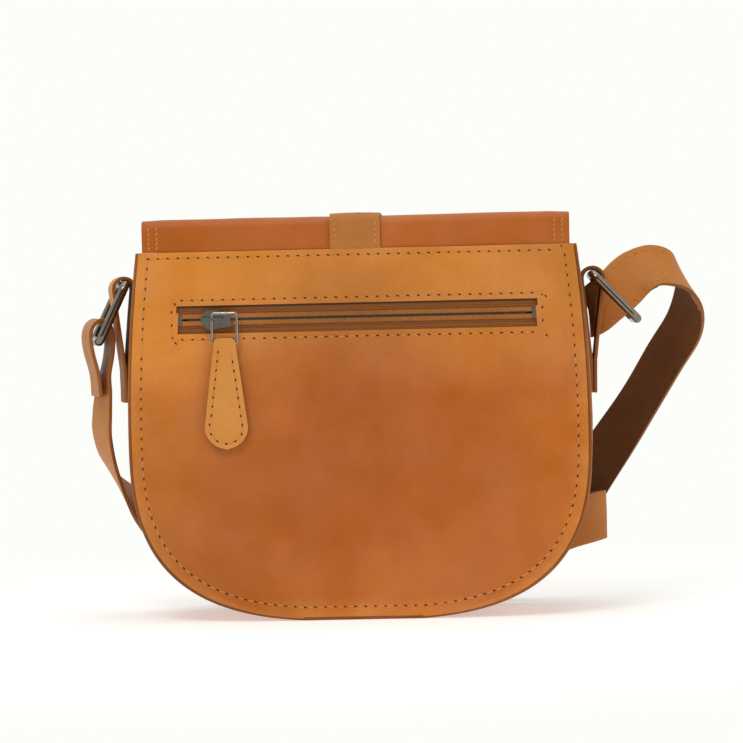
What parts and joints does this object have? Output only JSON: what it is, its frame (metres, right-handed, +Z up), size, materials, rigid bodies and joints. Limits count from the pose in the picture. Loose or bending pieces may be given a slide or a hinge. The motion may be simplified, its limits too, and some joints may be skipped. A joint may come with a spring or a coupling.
{
  "type": "shoulder bag",
  "caption": "Small saddle shoulder bag in smooth leather: rounded body, full flap with buckle strap, zip pocket on the back, ring tabs and a folded shoulder strap.",
  "frame": {"origin": "centre of the level foot that the bag stands on, at the ground", "axes": "+Z up, -Y out of the back panel with the zip pocket, +Y out of the front with the flap, +X to the right when the back panel is seen"},
  "size_m": [0.3227, 0.1097, 0.2038],
  "materials": {
    "leather": "waxed smooth leather",
    "gusset_leather": "waxed smooth leather, darker",
    "strap_leather": "waxed smooth leather, brown flesh side",
    "lining_cloth": "plain woven cotton",
    "zip_cloth": "woven tape",
    "antique_metal": "antique nickel",
    "zip_metal": "antique brass-nickel teeth"
  },
  "bodies": {
    "body": {"back_panel": "leather", "front_panel": "leather", "gusset": "gusset_leather", "lining": "lining_cloth", "pocket_pouch": "lining_cloth", "flap_back_strip": "leather", "closure_strap_back": "leather", "zip_tape_upper": "zip_cloth", "zip_tape_lower": "zip_cloth", "zip_teeth_upper": "zip_metal", "zip_teeth_lower": "zip_metal", "zip_end_stops": "zip_metal", "ring_tab_left": "gusset_leather", "ring_tab_right": "gusset_leather", "magnet_on_panel": "antique_metal", "strap_long": "strap_leather", "strap_short": "strap_leather", "strap_joining_loop": "antique_metal", "strap_studs": "antique_metal"},
    "flap": {"flap": "leather", "closure_strap": "leather", "closure_buckle_frame": "antique_metal", "closure_keeper": "leather", "magnet_on_flap": "antique_metal"},
    "prong": {"closure_prong": "antique_metal"},
    "slider": {"zip_slider": "antique_metal"},
    "loop": {"pull_loop": "antique_metal"},
    "pull": {"leather_pull": "leather"},
    "ring_left": {"ring_left": "antique_metal"},
    "ring_right": {"ring_right": "antique_metal"}
  },
  "joints": [
    {"name": "flap_hinge", "type": "hinge", "parent": "body", "child": "flap", "pos_m": [0, -0.0366, 0.2041], "axis": [1, 0, 0], "range_deg": [0, 170]},
    {"name": "prong_hinge", "type": "hinge", "parent": "flap", "child": "prong", "pos_m": [0, 0.0431, 0.1093], "axis": [1, 0, 0], "range_deg": [0, 100]},
    {"name": "zip_slide", "type": "slide", "parent": "body", "child": "slider", "axis": [1, 0, 0], "range_m": [0, 0.146]},
    {"name": "loop_swing", "type": "hinge", "parent": "slider", "child": "loop", "pos_m": [-0.0725, -0.0381, 0.152], "axis": [0, 1, 0], "range_deg": [-8, 8]},
    {"name": "pull_lift", "type": "hinge", "parent": "loop", "child": "pull", "pos_m": [-0.0725, -0.0381, 0.14], "axis": [1, 0, 0], "range_deg": [-90, 0]},
    {"name": "left_ring_swing", "type": "hinge", "parent": "body", "child": "ring_left", "pos_m": [-0.12135, 0, 0.1705], "axis": [-0.2079, 0.9781, 0], "range_deg": [-4, 1]},
    {"name": "right_ring_swing", "type": "hinge", "parent": "body", "child": "ring_right", "pos_m": [0.11906, 0, 0.1705], "axis": [0, 1, 0], "range_deg": [-8, 0]}
  ]
}
